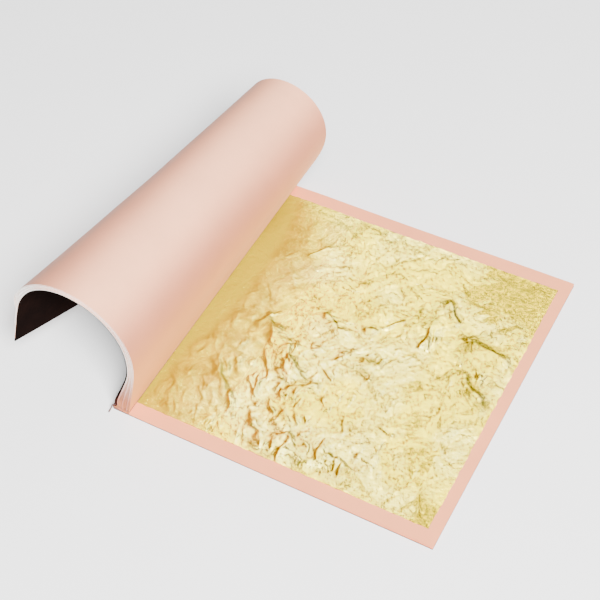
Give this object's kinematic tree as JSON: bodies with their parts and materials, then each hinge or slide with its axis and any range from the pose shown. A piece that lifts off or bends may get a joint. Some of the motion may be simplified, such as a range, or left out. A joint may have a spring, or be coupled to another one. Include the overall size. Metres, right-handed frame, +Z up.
{
  "type": "gold leaf booklet",
  "caption": "Open booklet of gold leaf: turned tissue pages curl back in a loose roll, a loose leaf lies in view on the flat pages, thin card covers, thread-sewn edge.",
  "frame": {"origin": "middle of the back cover's underside, on the surface the booklet lies on", "axes": "+X from the bound edge to the fore edge across the pages, +Y along the bound edge from the near end to the far end, +Z up"},
  "size_m": [0.1161, 0.0896, 0.0421],
  "materials": {
    "cover_card": "matte, smooth thin dark card",
    "tissue_paper": "matte, slightly mottled salmon-pink tissue",
    "gold_foil": "bright, finely wrinkled beaten gold",
    "thread": "matte, dull red-brown thread"
  },
  "bodies": {
    "bound_base": {"back_cover": "cover_card", "bound_strips": "tissue_paper", "cover_strip": "cover_card", "binding_thread": "thread"},
    "turned_block": {"front_cover": "cover_card", "tissue_01": "tissue_paper", "tissue_02": "tissue_paper", "tissue_03": "tissue_paper", "tissue_04": "tissue_paper", "tissue_05": "tissue_paper", "tissue_06": "tissue_paper", "tissue_07": "tissue_paper", "tissue_08": "tissue_paper", "tissue_09": "tissue_paper", "tissue_10": "tissue_paper", "tissue_11": "tissue_paper", "tissue_12": "tissue_paper", "tissue_13": "tissue_paper", "tissue_14": "tissue_paper", "tissue_15": "tissue_paper", "tissue_16": "tissue_paper", "tissue_17": "tissue_paper", "tissue_18": "tissue_paper", "tissue_19": "tissue_paper", "tissue_20": "tissue_paper", "tissue_21": "tissue_paper", "gold_leaf_01": "gold_foil", "gold_leaf_02": "gold_foil", "gold_leaf_03": "gold_foil", "gold_leaf_04": "gold_foil", "gold_leaf_05": "gold_foil", "gold_leaf_06": "gold_foil", "gold_leaf_07": "gold_foil", "gold_leaf_08": "gold_foil", "gold_leaf_09": "gold_foil", "gold_leaf_10": "gold_foil", "gold_leaf_11": "gold_foil", "gold_leaf_12": "gold_foil", "gold_leaf_13": "gold_foil", "gold_leaf_14": "gold_foil", "gold_leaf_15": "gold_foil", "gold_leaf_16": "gold_foil", "gold_leaf_17": "gold_foil", "gold_leaf_18": "gold_foil", "gold_leaf_19": "gold_foil", "gold_leaf_20": "gold_foil"},
    "page_26": {"tissue_26": "tissue_paper"},
    "page_25": {"tissue_25": "tissue_paper"},
    "page_24": {"tissue_24": "tissue_paper"},
    "page_23": {"tissue_23": "tissue_paper"},
    "page_22": {"tissue_22": "tissue_paper"},
    "leaf_25": {"gold_leaf_25": "gold_foil"},
    "leaf_24": {"gold_leaf_24": "gold_foil"},
    "leaf_23": {"gold_leaf_23": "gold_foil"},
    "leaf_22": {"gold_leaf_22": "gold_foil"},
    "leaf_21": {"gold_leaf_21": "gold_foil"}
  },
  "joints": [
    {"name": "block_fold", "type": "hinge", "parent": "bound_base", "child": "turned_block", "pos_m": [-0.0395, 0, 0.0006], "axis": [0, 1, 0], "range_deg": [0, 55]},
    {"name": "page_26_lift", "type": "hinge", "parent": "bound_base", "child": "page_26", "pos_m": [-0.0395, 0, 0.00028], "axis": [0, 1, 0], "range_deg": [-3, 0]},
    {"name": "page_25_lift", "type": "hinge", "parent": "page_26", "child": "page_25", "pos_m": [-0.0395, 0, 0.00034], "axis": [0, 1, 0], "range_deg": [-5, 0]},
    {"name": "page_24_lift", "type": "hinge", "parent": "page_25", "child": "page_24", "pos_m": [-0.0395, 0, 0.00041], "axis": [0, 1, 0], "range_deg": [-8, 0]},
    {"name": "page_23_lift", "type": "hinge", "parent": "page_24", "child": "page_23", "pos_m": [-0.0395, 0, 0.00047], "axis": [0, 1, 0], "range_deg": [-12, 0]},
    {"name": "page_22_lift", "type": "hinge", "parent": "page_23", "child": "page_22", "pos_m": [-0.0395, 0, 0.00054], "axis": [0, 1, 0], "range_deg": [-26, 0]},
    {"name": "leaf_25_draw", "type": "slide", "parent": "page_26", "child": "leaf_25", "axis": [1, 0, 0], "range_m": [0, 0.0835]},
    {"name": "leaf_24_draw", "type": "slide", "parent": "page_25", "child": "leaf_24", "axis": [1, 0, 0], "range_m": [0, 0.0835]},
    {"name": "leaf_23_draw", "type": "slide", "parent": "page_24", "child": "leaf_23", "axis": [1, 0, 0], "range_m": [0, 0.0835]},
    {"name": "leaf_22_draw", "type": "slide", "parent": "page_23", "child": "leaf_22", "axis": [1, 0, 0], "range_m": [0, 0.0835]},
    {"name": "leaf_21_draw", "type": "slide", "parent": "page_22", "child": "leaf_21", "axis": [1, 0, 0], "range_m": [0, 0.0835]}
  ]
}
